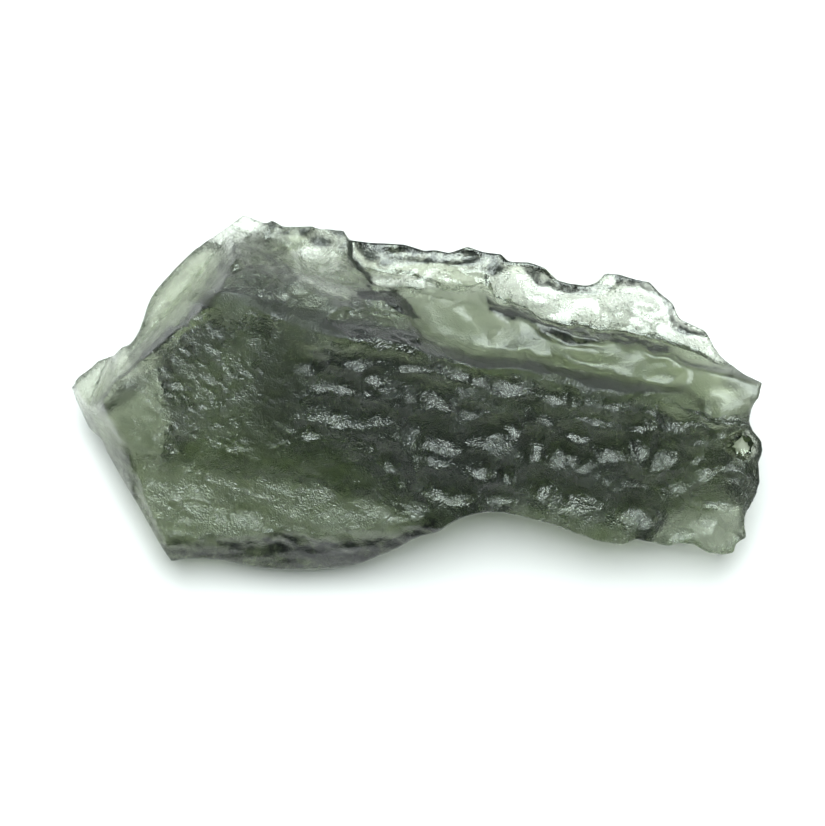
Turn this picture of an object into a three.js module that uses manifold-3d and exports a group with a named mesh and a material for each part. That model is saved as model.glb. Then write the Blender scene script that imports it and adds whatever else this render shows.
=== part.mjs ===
// A natural moldavite: one piece of green impact glass, about 28 mm long, lying on its broad side.
// Millimetres, +Z up. The origin is on the surface that the stone lies on, under the middle of its box.
//
// The piece is a thick, furrowed body that runs from west (-X) to east (+X), with a crest along its top.
// North of the crest the glass drops to a thin shelf that ends in a ragged edge. The west end is a set of
// flat breaks that meet in sharp ridges and a thin blade. The stone is cut from its outline by breaks,
// which are flat, and by pits, which are oval bowls that the ground etched into its skin.
import * as THREE from "three";
import { mergeVertices } from "three/addons/utils/BufferGeometryUtils.js";
import Module from "manifold-3d";

// Driving dimensions.
const THICKNESS = 7.8; // from the surface that the stone lies on to its crest
const GLASS_COLOUR = 0x4f5e48;
const GLASS_ROUGHNESS = 0.35;

// Half the size of the blocks that stand for everything on one side of a plane.
const BEYOND = 40;
// How a pit's bowl is drawn: steps around it and from pole to pole.
const BOWL_STEPS_AROUND = 14;
const BOWL_STEPS_DOWN = 8;
// The height of a bowl's centre above the skin, as a share of the bowl's own radius.
const BOWL_RISE = 0.6;

const UP = new THREE.Vector3(0, 0, 1);
const DOWN = new THREE.Vector3(0, 0, -1);
const NORTH = new THREE.Vector3(0, 1, 0);
const SOUTH = new THREE.Vector3(0, -1, 0);
const EAST = new THREE.Vector3(1, 0, 0);
const WEST = new THREE.Vector3(-1, 0, 0);

// The outline seen from above, clockwise from the tip of the west blade.
const BLADE_NORTH = [
  [-14.0, 0.1], [-13.6, 0.65], [-13.1, 1.0], [-12.8, 1.3], [-12.2, 1.5], [-11.75, 1.9], [-11.5, 1.95],
];
const NORTH_WEST_EDGE = [
  [-11.1, 2.55], [-10.9, 3.15], [-10.7, 3.8], [-10.2, 4.5], [-9.5, 5.2], [-8.7, 5.95], [-7.7, 6.6], [-6.9, 7.2],
];
const LOBE_EDGE = [
  [-6.4, 7.0], [-6.0, 6.85], [-5.75, 7.0], [-5.3, 6.72], [-4.2, 6.75], [-3.7, 6.65], [-2.85, 6.6], [-2.6, 6.2],
];
const SHELF_EDGE = [
  [-1.8, 6.08], [-0.4, 6.0], [0.4, 5.75], [0.85, 5.78], [1.4, 5.67], [2.15, 5.93], [2.8, 5.7], [3.5, 5.62],
  [3.8, 5.33], [4.7, 5.27], [5.3, 5.05], [5.8, 4.55], [6.3, 4.42], [7.0, 4.35], [7.35, 4.48], [7.7, 4.85],
  [8.3, 4.8], [9.0, 4.57], [9.5, 4.5], [10.0, 4.0], [10.45, 3.65], [10.7, 3.0], [11.75, 2.5], [12.0, 2.1],
  [12.3, 1.55], [12.9, 1.05], [13.3, 0.75], [14.0, 0.4],
];
const EAST_END = [
  [13.85, -0.2], [13.6, -0.6], [13.48, -1.1], [13.6, -1.5], [13.95, -1.9], [14.05, -2.35], [13.88, -2.8],
  [13.95, -3.6], [13.78, -4.2], [13.4, -4.9], [13.35, -5.25], [13.45, -5.85], [13.05, -6.1], [12.9, -6.5],
];
const SOUTH_EAST_EDGE = [
  [12.4, -6.57], [11.8, -6.48], [11.3, -6.15], [10.7, -6.1], [10.2, -6.22], [9.6, -6.05], [8.9, -5.95],
  [8.3, -6.18], [7.3, -5.98], [6.4, -5.65], [5.5, -5.3], [4.4, -5.05], [3.7, -4.87],
];
const SOUTH_HOLLOW = [
  [3.1, -4.82], [2.3, -4.93], [1.5, -5.25], [0.9, -5.65], [0.2, -5.8], [-0.8, -6.35], [-2.2, -6.93],
];
const SOUTH_WEST_EDGE = [
  [-3.6, -7.17], [-4.8, -7.2], [-6.4, -7.08], [-8.0, -6.78], [-9.2, -6.74], [-9.85, -6.87],
];
const WEST_EDGE = [
  [-10.3, -6.2], [-10.95, -5.0], [-11.9, -3.4], [-12.5, -2.35], [-12.65, -1.9], [-13.2, -1.45], [-13.6, -0.65],
];

// Breaks. Each row is one bite out of the glass: everything that lies beyond all of its planes is gone.
// A plane is the side that it faces and three points on it.
const BREAKS = {
  // Upper side.
  west_roof: [[UP, [-4.5, 3.2, 7.7], [-10.6, 1.4, 5.4], [-7.5, -2.0, 5.1]]],
  furrowed_face: [[UP, [-3.0, 2.4, 7.8], [10.0, -0.7, 5.6], [5.0, -5.2, 3.2]]],
  east_roof: [[UP, [8.0, 0.0, 6.2], [9.5, -5.0, 3.3], [13.8, -2.5, 3.6]]],
  south_west_step: [
    [SOUTH, [-11.0, -1.9, 4.1], [-1.5, -2.7, 5.2], [-8.0, -2.6, 3.9]],
    [UP, [-10.4, -2.6, 3.9], [-1.5, -3.5, 4.5], [-7.0, -6.0, 3.2]],
  ],
  south_bevel: [[UP, [-9.6, -6.1, 3.1], [-2.5, -6.0, 3.3], [-6.0, -7.3, 1.7]]],
  west_facet: [[UP, [-12.4, -0.9, 3.9], [-10.6, -5.0, 3.3], [-12.6, -2.3, 2.2]]],
  blade_top: [
    [WEST, [-11.3, 2.2, 5.0], [-12.8, -0.8, 3.9], [-12.6, 0.6, 3.1]],
    [UP, [-11.7, 1.7, 3.3], [-12.7, -0.8, 3.0], [-14.0, 0.1, 2.7]],
  ],
  north_west_strip: [
    [NORTH, [-6.2, 6.4, 6.0], [-10.9, 1.4, 5.2], [-7.6, 5.7, 4.4]],
    [UP, [-7.0, 6.4, 3.9], [-10.9, 2.4, 4.0], [-9.5, 5.1, 3.3]],
  ],
  lobe_top: [
    [UP, [-3.0, 2.35, 7.77], [-6.2, 3.4, 7.3], [-2.0, 4.1, 6.3]],
    [UP, [-5.5, 4.6, 6.2], [-1.2, 4.1, 6.2], [-4.5, 6.7, 4.9]],
  ],
  shelf: [
    [UP, [-3.0, 2.35, 7.77], [8.0, 0.2, 6.18], [0.3, 3.45, 5.2]],
    [EAST, [-2.5, 6.3, 4.0], [-0.5, 3.7, 4.0], [-2.3, 5.7, 6.0]],
    [UP, [0.3, 3.45, 5.1], [8.0, 1.2, 5.0], [3.0, 5.6, 3.9]],
  ],
  shelf_step: [
    [NORTH, [4.0, 2.9, 4.8], [12.5, 0.8, 4.4], [6.4, 2.9, 3.5]],
    [UP, [4.0, 4.0, 3.5], [11.0, 1.9, 3.6], [9.0, 4.6, 3.2]],
  ],
  shelf_west: [
    [NORTH, [-2.2, 5.0, 4.6], [3.6, 4.7, 4.6], [0.0, 5.25, 4.0]],
    [EAST, [-2.5, 6.3, 4.0], [-0.5, 3.7, 4.0], [-2.3, 5.7, 6.0]],
    [UP, [-2.0, 5.4, 3.7], [3.4, 5.0, 3.5], [0.0, 6.0, 3.3]],
  ],
  // Underside.
  under_north: [
    [NORTH, [-3.0, 2.4, 0.4], [12.0, -0.6, 1.2], [3.0, 2.0, 2.2]],
    [DOWN, [-3.0, 4.0, 2.2], [9.0, 1.8, 2.3], [4.0, 5.2, 2.6]],
  ],
  under_north_west: [[DOWN, [-3.5, 2.6, 0.0], [-8.0, -0.4, 0.0], [-9.2, 5.0, 2.7]]],
  under_blade: [[DOWN, [-8.0, 1.0, 0.2], [-8.6, -4.0, 0.2], [-14.0, 0.1, 2.1]]],
  under_south: [[DOWN, [-8.0, -3.0, 0.0], [8.0, -2.6, 0.0], [0.0, -6.2, 1.15]]],
  under_south_west: [[DOWN, [-5.5, -3.0, 0.0], [-8.5, 0.2, 0.2], [-10.2, -5.6, 1.5]]],
  under_east: [[DOWN, [8.0, 1.6, 0.3], [8.6, -5.0, 0.3], [13.9, -2.6, 1.6]]],
};

// Pits. Each row is a bowl: where its middle is in plan, its length, width and depth, and the heading of its
// length in degrees anticlockwise from east. A bowl sinks square to the skin that it meets.
const UPPER_PITS = {
  furrows: [
    [0.2, 0.35, 4.6, 1.5, 0.32, -12],
    [3.4, 0.05, 3.8, 1.4, 0.28, -12],
    [6.4, -0.5, 4.0, 1.6, 0.34, -18],
    [9.6, -1.3, 3.6, 1.5, 0.3, -12],
    [12.4, -1.6, 2.4, 1.4, 0.25, -20],
    [-2.3, -0.4, 3.2, 2.1, 0.42, -15],
    [-4.2, 0.1, 2.2, 1.6, 0.26, -10],
    [1.3, -1.05, 6.2, 1.7, 0.46, -12],
    [4.6, -1.6, 3.4, 1.5, 0.34, -15],
    [7.5, -1.9, 3.6, 1.5, 0.32, -12],
    [10.6, -2.6, 3.4, 1.5, 0.32, -10],
    [-1.1, -2.2, 3.0, 2.0, 0.38, -12],
    [2.2, -2.5, 3.8, 1.7, 0.38, -12],
    [5.3, -3.0, 3.6, 1.7, 0.36, -12],
    [8.5, -3.4, 3.8, 1.6, 0.32, -10],
    [11.9, -3.6, 3.0, 1.6, 0.32, -12],
    [0.7, -3.6, 3.0, 1.6, 0.32, -12],
    [3.6, -4.0, 3.8, 1.5, 0.36, -10],
    [6.8, -4.4, 3.6, 1.6, 0.32, -8],
    [9.5, -4.7, 3.2, 1.7, 0.32, -5],
    [12.0, -5.1, 2.8, 1.8, 0.36, -10],
  ],
  grooves: [
    [-7.9, -2.4, 6.6, 1.2, 0.36, 0],
    [-3.8, -2.9, 5.0, 1.3, 0.32, -12],
    [-10.0, -3.65, 3.0, 1.1, 0.25, -14],
    [-7.6, -4.55, 3.8, 1.1, 0.26, -20],
    [-4.6, -5.25, 4.0, 1.1, 0.25, -13],
  ],
  shelf: [
    [-1.0, 4.5, 2.0, 0.9, 0.22, -10],
    [0.8, 4.2, 3.4, 1.5, 0.35, -12],
    [3.0, 3.0, 3.0, 1.4, 0.35, -25],
    [1.0, 5.6, 3.8, 0.9, 0.2, -5],
    [5.0, 4.3, 3.6, 1.5, 0.3, -10],
    [8.9, 3.7, 3.0, 1.5, 0.28, -15],
    [10.8, 2.3, 3.8, 1.2, 0.22, -20],
    [6.6, 1.6, 3.6, 1.1, 0.25, -12],
    [9.6, 0.9, 4.0, 1.2, 0.3, -12],
    [12.3, 0.0, 2.6, 1.5, 0.4, -10],
  ],
  lobe: [
    [-4.1, 5.3, 2.6, 2.2, 0.5, 80],
    [-2.9, 4.7, 1.4, 1.0, 0.22, 0],
    [-6.2, 5.3, 2.4, 0.9, 0.2, 35],
    [-1.5, 3.5, 2.8, 1.1, 0.25, -15],
  ],
};
const LOWER_PITS = [
  [-8.0, 3.4, 4.4, 3.2, 0.45, 35],
  [-3.8, 4.9, 3.8, 2.8, 0.45, 60],
  [-10.8, -2.4, 4.6, 3.0, 0.4, -60],
  [-7.6, -5.2, 4.6, 2.6, 0.4, -20],
  [-3.2, -5.6, 4.4, 2.4, 0.4, -10],
  [0.6, -4.8, 4.6, 2.2, 0.4, -10],
  [4.6, -4.1, 4.4, 2.0, 0.38, 5],
  [8.0, -4.8, 4.0, 2.4, 0.4, -5],
  [11.4, -4.2, 3.8, 2.8, 0.42, 20],
  [11.9, -0.6, 3.4, 2.6, 0.4, -70],
  [-0.4, 4.5, 4.0, 2.0, 0.3, -5],
  [3.8, 4.2, 4.4, 2.0, 0.32, -10],
  [8.0, 3.4, 4.6, 2.0, 0.32, -12],
];

// The gas bubble that the east end has worn open: its radius, and how deep its middle lies under the skin.
const BUBBLE = { at: [13.15, -2.1], radius: 0.58, depth: 0.3 };

const wasm = await Module();
wasm.setup();

// A closed three.js geometry as a solid that can be cut.
function solidOf(geometry) {
  const bare = geometry.clone();
  bare.deleteAttribute("normal");
  bare.deleteAttribute("uv");
  const merged = mergeVertices(bare, 1e-5);
  return new wasm.Manifold(
    new wasm.Mesh({
      numProp: 3,
      vertProperties: new Float32Array(merged.attributes.position.array),
      triVerts: new Uint32Array(merged.index.array),
    }),
  );
}

// A solid as a three.js geometry.
function geometryOf(solid) {
  const mesh = solid.getMesh();
  const positions = new Float32Array(mesh.numVert * 3);
  for (let i = 0; i < mesh.numVert; i++) {
    positions.set(mesh.vertProperties.subarray(i * mesh.numProp, i * mesh.numProp + 3), i * 3);
  }
  const geometry = new THREE.BufferGeometry();
  geometry.setAttribute("position", new THREE.BufferAttribute(positions, 3));
  geometry.setIndex(new THREE.BufferAttribute(new Uint32Array(mesh.triVerts), 1));
  return geometry;
}

// Everything beyond the plane through three points, on the side that it faces.
function beyond([side, a, b, c]) {
  const corners = [a, b, c].map((p) => new THREE.Vector3(...p));
  const plane = new THREE.Plane().setFromCoplanarPoints(...corners);
  if (plane.normal.dot(side) < 0) plane.negate();
  const centre = corners[0].clone().addScaledVector(plane.normal, BEYOND / 2);
  const turn = new THREE.Quaternion().setFromUnitVectors(UP, plane.normal);
  const block = new THREE.BoxGeometry(2 * BEYOND, 2 * BEYOND, BEYOND);
  block.applyMatrix4(new THREE.Matrix4().compose(centre, turn, new THREE.Vector3(1, 1, 1)));
  return solidOf(block);
}

// The bite that one break takes: what lies beyond all of its planes.
function bite(planes) {
  return planes.map(beyond).reduce((kept, next) => kept.intersect(next));
}

// The outline as a shape, with smooth stretches drawn as splines and ragged ones point by point.
function outline() {
  const shape = new THREE.Shape();
  const ragged = (points) => points.forEach(([x, y]) => shape.lineTo(x, y));
  const smooth = (points) => shape.splineThru(points.map(([x, y]) => new THREE.Vector2(x, y)));
  shape.moveTo(...BLADE_NORTH[0]);
  ragged(BLADE_NORTH.slice(1));
  smooth(NORTH_WEST_EDGE);
  ragged(LOBE_EDGE);
  ragged(SHELF_EDGE);
  ragged(EAST_END);
  ragged(SOUTH_EAST_EDGE);
  smooth(SOUTH_HOLLOW);
  smooth(SOUTH_WEST_EDGE);
  ragged(WEST_EDGE);
  return shape;
}

// The skin above or below a place in plan: the point on it and the direction that it faces.
function skinAt(mesh, x, y, above) {
  const start = new THREE.Vector3(x, y, above ? BEYOND : -BEYOND);
  const hits = new THREE.Raycaster(start, above ? DOWN : UP).intersectObject(mesh);
  if (hits.length === 0) throw new Error(`no glass at ${x}, ${y}`);
  return { point: hits[0].point, facing: hits[0].face.normal };
}

// A pit's bowl: part of an ellipsoid whose centre floats above the skin.
function bowl(mesh, [x, y, length, width, depth, heading], above) {
  const { point, facing } = skinAt(mesh, x, y, above);
  // With the centre that far up, the ellipsoid is wider than its opening and reaches deeper than the pit.
  const reach = depth / (1 - BOWL_RISE);
  const spread = 1 / Math.sqrt(1 - BOWL_RISE * BOWL_RISE);
  const shape = new THREE.SphereGeometry(1, BOWL_STEPS_AROUND, BOWL_STEPS_DOWN);
  shape.rotateX(Math.PI / 2);
  shape.scale((spread * length) / 2, (spread * width) / 2, reach);
  shape.translate(0, 0, reach * BOWL_RISE);
  shape.rotateZ(THREE.MathUtils.degToRad(above ? heading : -heading));
  if (!above) shape.rotateX(Math.PI);
  const turn = new THREE.Quaternion().setFromUnitVectors(above ? UP : DOWN, facing);
  shape.applyQuaternion(turn);
  shape.translate(point.x, point.y, point.z);
  return solidOf(shape);
}

// The bubble's hollow, open to the skin above it.
function bubble(mesh) {
  const { point, facing } = skinAt(mesh, ...BUBBLE.at, true);
  const middle = point.clone().addScaledVector(facing, -BUBBLE.depth);
  const shape = new THREE.SphereGeometry(BUBBLE.radius, BOWL_STEPS_AROUND, BOWL_STEPS_DOWN);
  shape.translate(middle.x, middle.y, middle.z);
  return solidOf(shape);
}

function roughBlock() {
  const options = { depth: THICKNESS, bevelEnabled: false, curveSegments: 2 };
  return solidOf(new THREE.ExtrudeGeometry(outline(), options));
}

let stone = roughBlock();
for (const planes of Object.values(BREAKS)) stone = stone.subtract(bite(planes));

// Every pit is measured from the broken skin, before any pit is cut.
const skin = new THREE.Mesh(geometryOf(stone));
const upperPits = Object.values(UPPER_PITS).flat();
for (const pit of upperPits) stone = stone.subtract(bowl(skin, pit, true));
for (const pit of LOWER_PITS) stone = stone.subtract(bowl(skin, pit, false));
stone = stone.subtract(bubble(skin));

const geometry = geometryOf(stone);
geometry.computeBoundingBox();
const box = geometry.boundingBox;
const middle = box.getCenter(new THREE.Vector3());
geometry.translate(-middle.x, -middle.y, -box.min.z);

const glass = new THREE.MeshStandardMaterial({
  color: GLASS_COLOUR,
  roughness: GLASS_ROUGHNESS,
  metalness: 0,
});
const moldavite = new THREE.Mesh(geometry, glass);
moldavite.name = "moldavite";

const group = new THREE.Group();
group.add(moldavite);
export default group;
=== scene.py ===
import math

import bmesh
import bpy
import numpy as np
from mathutils import Matrix, Vector
from mathutils.bvhtree import BVHTree


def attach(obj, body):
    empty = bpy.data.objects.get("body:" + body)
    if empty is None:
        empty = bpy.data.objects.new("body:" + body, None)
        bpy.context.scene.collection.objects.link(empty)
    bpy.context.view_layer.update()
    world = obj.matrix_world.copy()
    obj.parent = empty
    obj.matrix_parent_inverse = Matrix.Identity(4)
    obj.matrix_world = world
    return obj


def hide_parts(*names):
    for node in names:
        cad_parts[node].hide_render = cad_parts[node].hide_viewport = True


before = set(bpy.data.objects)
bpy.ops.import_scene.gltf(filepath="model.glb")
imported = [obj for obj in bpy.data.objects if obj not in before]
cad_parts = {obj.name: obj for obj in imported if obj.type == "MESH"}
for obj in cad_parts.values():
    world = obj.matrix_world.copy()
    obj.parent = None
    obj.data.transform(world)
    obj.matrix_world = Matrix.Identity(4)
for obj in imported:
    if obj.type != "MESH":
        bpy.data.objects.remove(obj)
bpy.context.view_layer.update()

MM = 0.001
STONE = "moldavite"

# Remeshing.
VOXEL = 0.08  # mm, the even mesh that the relief is carved in
MOST_TRIANGLES = 190_000
WELD = 0.0005  # mm, within which the CAD copy's loose corners are joined
MOST_CUT = 0.45  # of the thickness of the glass, the most that the upper skin is lowered
UPRIGHT = 0.001  # the most that the normal of one of the stone's upright sides rises or falls
# How far a normal rises: from the sides to the skin that is cut, from the underside to the skin that is
# marked, and from the flat underside to its slopes.
CUT_FACING = (0.02, 0.12)
MARKED_FACING = (-0.1, 0.3)
UNDER_FACING = (-0.5, -0.2)

# The camera looks straight down through a long lens.
VIEW_CENTRE = (-0.134, -0.813)  # mm, where the camera's axis meets the surface
VIEW_WIDTH = 33.72  # mm across the frame
CAMERA_HEIGHT = 300.0  # mm
SENSOR = 36.0  # mm
CLIP = (0.01, 10)  # m

# Light: a soft key high on the shelf's side, a weak fill below it, and a dim room.
# Each softbox: name, azimuth and elevation in degrees, distance, width and height in metres, watts, colour.
SOFTBOXES = [
    ("key", 90, 68, 0.5, 0.34, 0.4, 5.5, (0.88, 1, 0.95)),
    ("fill", 90, 34, 0.6, 0.6, 0.26, 0.45, (0.84, 0.98, 1)),
]
ROOM_COLOUR = (0.82, 1, 0.93, 1)
ROOM_STRENGTH = 0.3
BOUNCES = 24
FLOOR_HALF = 0.6  # m
FLOOR_COLOUR = (0.745, 0.7, 0.725, 1)
FLOOR_ROUGHNESS = 0.9
FLOOR_GLOSS = 0.1

# Unevenness in plan, of what is drawn on the skin.
HILL_POSTS = 128
SHAKE_SEED = 11
SHAKES = [(1.4, 0.14), (0.45, 0.07), (0.2, 0.03)]  # size and reach, mm
STEP_FADE = 0.35  # mm over which a step starts and ends
SIDE_SOFTNESS = 0.05  # mm over which the bare faces of the south side begin
OUTLINE_SOFTNESS = 0.25  # mm, where nothing else is said

# ---------------------------------------------------------------- regions of the skin, in plan

# Lines that several outlines follow, in mm: the crest from west to east, the top of the dark riser, the
# inner edge of the west facet, and the crest beside the north-west strip.
CREST = [
    (-3, 2.3), (-2, 2.05), (-1, 1.75), (0, 1.55), (1, 1.5), (2, 1.4), (3, 1.05), (4, 0.7), (5, 0.45),
    (6, 0.4), (8, 0.25), (10, -0.4), (12, -1), (14.4, -1.4),
]
RISER_TOP = [
    (2.9, 3.8), (3.4, 3.65), (4, 3.6), (4.6, 3.4), (4.9, 3.1), (5.3, 2.9), (6.4, 2.88), (7, 2.65),
]
WEST_EDGE = [(-12.1, -1.9), (-11.5, -2.7), (-11.2, -3.6), (-11, -4.4), (-10.5, -5.5), (-10, -6.4)]
STRIP_CREST = [(-8.65, 4.05), (-7.4, 4.8), (-6.75, 5.05), (-5.9, 5.6), (-5, 6.1)]

# Outlines of the parts of the upper skin that differ in finish, in mm.
REGIONS = {
    "furrowed": [(-5.8, 2.2), (-4, 2.5)] + CREST + [
        (14.4, -7), (3.5, -6.6), (2, -4.9), (0.2, -4.6), (-0.6, -4.1), (-1.9, -3.3), (-2.3, -2.2),
        (-5.2, -1.9), (-6.2, -0.5),
    ],
    "granular": [
        (-11.2, 0.6), (-10.2, 1.8), (-9.4, 2.9), (-8.6, 2.8), (-7.6, 2), (-7, 1.3), (-5.6, 0.4), (-5, -0.6),
        (-4.9, -2), (-6, -2.3), (-7, -2), (-10.4, -1.9), (-10.8, -1),
    ],
    "corner": [(-12.7, -0.6), (-11.2, 0.7), (-10.6, 0.7), (-10.5, -1.5), (-10.6, -2.6), (-11.4, -2.8)],
    "mottled": [(-8.6, 2.8), (-7.2, 4.5), (-5.4, 3.2), (-4, 2.6), (-4.9, -0.6), (-5.6, 0.4), (-7.6, 2)],
    "grainy_slope": [
        (-11.3, -2.7), (-10, -2.5), (-8, -2.9), (-6, -3.1), (-4, -3.5), (-1.5, -4), (0.5, -4.9),
        (0.6, -5.2), (-0.8, -5.9), (-3, -5.9), (-5.2, -5.7), (-6.3, -5.95), (-8, -6), (-10.2, -5.9),
    ],
    "groove": [
        (-10.4, -1.95), (-8, -1.9), (-6, -2.35), (-4.6, -1.9), (-2.4, -2.3), (-2, -3.3), (-0.7, -4.1),
        (0, -4.7), (-1.5, -4.1), (-4, -3.5), (-6, -3.2), (-8, -2.95), (-10, -2.6),
    ],
    "north_slope": [
        (-6.2, 3.9), (-4, 2.7), (-3, 2.4), (0, 1.65), (3, 1.15), (5, 0.6), (8, 0.4), (8, 0.8), (4.5, 1.4),
        (2, 2.1), (0, 2.9), (-2, 3.9), (-4.5, 4.2),
    ],
    "bevel": [
        (-10.3, -6), (-8, -6), (-6.3, -5.95), (-5.4, -5.7), (-3.6, -5.9), (-0.8, -5.95), (0.9, -5.2),
        (1, -6.5), (-5, -8), (-10.5, -7.5),
    ],
    "shelf": [
        (-2.6, 6.6), (-2.4, 5.4), (-1.8, 4.5), (-0.9, 4.1), (-0.2, 3), (2.2, 2), (4, 1), (8, 0.5),
        (12, -0.7), (14.4, -1), (14.4, 6.5), (-2.6, 7.5),
    ],
    "lobe": [
        (-6.3, 7.4), (-6.6, 5.4), (-6, 3.6), (-4.2, 3.2), (-0.3, 2.9), (-0.9, 4.1), (-2.3, 5.2),
        (-2.6, 7.4),
    ],
    "edge_strip": [
        (-11.8, 2.4), (-11.4, 0.9), (-9.9, 2.8), (-8.6, 4.1), (-6.7, 5.1), (-5.2, 6.1), (-5.8, 7.2),
        (-9, 7.2), (-12, 3),
    ],
}

REGION_SOFTNESS = 0.45  # mm over which one part turns into the next
REGION_RAGGED = 3.0  # how much more ragged than other outlines theirs are

# How frosted each part is: 0 for fire-polished glass, 1 for a skin that is dull all over.
FROST = {
    "furrowed": 0.7,
    "granular": 0.85,
    "corner": 0.65,
    "mottled": 0.75,
    "grainy_slope": 0.85,
    "groove": 0.5,
    "bevel": 0.15,
    "shelf": 0.2,
    "lobe": 0.7,
    "north_slope": 0.48,
    "edge_strip": 0.5,
    "underside": 0.8,
}
FROST_ELSEWHERE = 0.6

# The broad faces of the stone's south side before anything is etched into them, each through three points.
SOUTH_FACES = [
    [(-3, 2.4, 7.8), (10, -0.7, 5.7), (5, -5.2, 3.9)],
    [(8, 0, 6.2), (9.5, -5, 3.9), (13.8, -2.5, 4)],
    [(-4.5, 3.2, 7.7), (-10.6, 1.4, 5.4), (-7.5, -2, 5.1)],
    [(-9.6, -6.1, 3.1), (-2.5, -6, 3.3), (-6, -7.3, 1.7)],
    [(-12.4, -0.9, 3.9), (-10.6, -5, 3.3), (-12.6, -2.3, 2.2)],
]
LEDGE_RISER = [(-11, -1.9, 4.3), (-1.5, -2.5, 5.3), (-8, -3.2, 4)]
LEDGE_FLOOR = [(-10.4, -2.6, 3.85), (-1.5, -3.5, 4.45), (-7, -6, 3.4)]
SOUTH_SIDE = [(-11.6, -0.2), (-10.4, 1.4), (-8.6, 3.2), (-7.4, 3.6), (-4.6, 2.7)] + CREST + [
    (14.4, -8), (-10.4, -8), (-12, -1.6),
]

# The slope that runs along the north of the crest, and where it has cut the foot of the lobe away.
NORTH_SLOPE = [(-3, 2.35, 7.77), (8, 0.2, 6.18), (0.3, 3.45, 5.2)]
LOBE_END = [(-3.4, 2.2), (0.8, 1.5), (1, 2.6), (0, 3.15), (-0.6, 3.3), (-1.8, 3.5), (-3.4, 3)]
LOBE_END_SOFTNESS = 0.25
# Where a steep slope drops from the crest to the shelf, and the gentle face that it drops to.
SHELF_CUT = [
    (-0.75, 4.3), (-0.3, 3.4), (0.1, 2.8), (0.6, 2.1), (1.4, 1.4), (3, 1), (5, 0.4), (8, 0.2), (10, -0.2),
    (10.6, 0.8), (8, 2.3), (5, 2.9), (3.6, 3.4), (2.9, 3.9), (1.5, 4.4), (0.3, 4.4),
]
SHELF_DROP = [(0, 1.75, 7.1), (8, 0.4, 5.8), (4, 1.7, 4.4)]
SHELF_WEST_FACE = [(0.5, 2.6, 4.6), (3, 2.6, 4.2), (0.5, 4.2, 3.4)]
SHELF_EAST_FACE = [(2.5, 2, 4.75), (10, 0.4, 4.5), (6, 2.3, 4.45)]
SHELF_TURN = (1.8, 3.6)  # mm of x between which the west face turns into the east one
SHELF_CUT_SOFTNESS = 0.45

# Furrows etched into the broad faces: x, y, length and width in mm, heading in degrees.
FURROWS = [
    (-4.3, 1.3, 1.9, 1.3, -5), (-2.4, 1.5, 2.2, 1.2, -8), (-0.4, 1.25, 2.2, 0.9, -12),
    (1.5, 1.05, 1.6, 1, -18), (3.6, 0.4, 3.3, 1.35, -20), (2.3, 0.7, 1, 0.7, -25),
    (5.2, -0.1, 1.8, 0.9, -12), (6.4, -0.2, 1.1, 0.7, -15), (7.6, -0.25, 1.8, 0.7, -12),
    (9.3, -0.6, 1.8, 0.8, -15), (11, -1, 1.8, 0.9, -15), (-2.9, 0.45, 2.8, 1.4, -6),
    (-1.6, 0.7, 1, 0.7, -10), (0.4, 0.05, 3, 1.5, -12), (1.7, 0.3, 0.9, 0.7, -25),
    (2.2, -0.6, 1.5, 0.9, -10), (1.4, -0.95, 0.9, 0.55, -12), (5, -0.8, 2.2, 1, -17),
    (7, -0.9, 2.2, 1.1, -16), (8.9, -1.15, 1.7, 1.2, -8), (10.4, -1.1, 1.4, 1.1, -12),
    (11.3, -1.7, 1.3, 0.9, -20), (12.4, -1.4, 1.2, 0.8, -15), (-4.8, -0.75, 1.1, 0.7, 0),
    (-2.9, -0.75, 3.6, 1.5, -4), (-1.5, -0.75, 1.4, 1.2, -12), (-4.2, -1.6, 1.6, 0.7, -5),
    (0.5, -1.45, 3.3, 1.75, -20), (2.9, -1.6, 2.3, 1.35, -3), (3.7, -1.3, 1.3, 1.2, -15),
    (4.8, -1.95, 1.6, 1.5, -18), (5.8, -2.2, 1.5, 1.6, 5), (6.5, -1.6, 2, 1, -18),
    (7.7, -2.2, 1.8, 1.4, -8), (9, -2, 1.4, 1.2, -12), (9.9, -2.3, 1.4, 1.35, -8),
    (11.2, -2.5, 1.5, 1.3, -10), (-1, -2.6, 1.4, 1.5, 0), (-1.8, -2.1, 0.6, 0.6, 0),
    (0.6, -2.4, 1.7, 1, -10), (2.5, -2.75, 1.6, 1.3, -20), (3.7, -3.1, 1.1, 1.3, -10),
    (6.7, -2.75, 1, 1, 20), (7.1, -3.2, 0.7, 0.7, 0), (11.5, -3, 1.4, 1.1, -20), (12.6, -2.95, 1.2, 0.8, 5),
    (12.7, -3.45, 0.9, 0.5, 0), (-0.5, -3.5, 1, 0.8, -10), (0.8, -3.55, 1.6, 1.3, -8),
    (1.9, -3.8, 1.4, 1.35, -15), (3.2, -4.1, 1.6, 1, -10), (5, -3.7, 2.2, 1.6, -12),
    (6.4, -4.1, 3, 1.9, -8), (8.6, -3.5, 3.2, 1.3, -12), (8.9, -4.4, 2.3, 1.9, -5),
    (10.4, -3.5, 1.6, 1.1, -5), (11.9, -4.3, 2.2, 1.3, -15), (11.7, -5, 2.2, 1.4, -12),
    (10.6, -5.5, 2, 1, -5), (12.7, -5.6, 1.2, 1.6, 40),
]
FURROW_DEPTH = 0.275  # of a furrow's width
FURROW_BEND, FURROW_FALL = 1.3, 1.0  # bend: 1 for straight walls, 2 for round ones; fall: 2 for a soft rim
HOLLOW_BEND, HOLLOW_FALL = 2.0, 2.0
LEAN = 0.12  # how far downhill the deepest place lies, as a share of half the width

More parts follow.
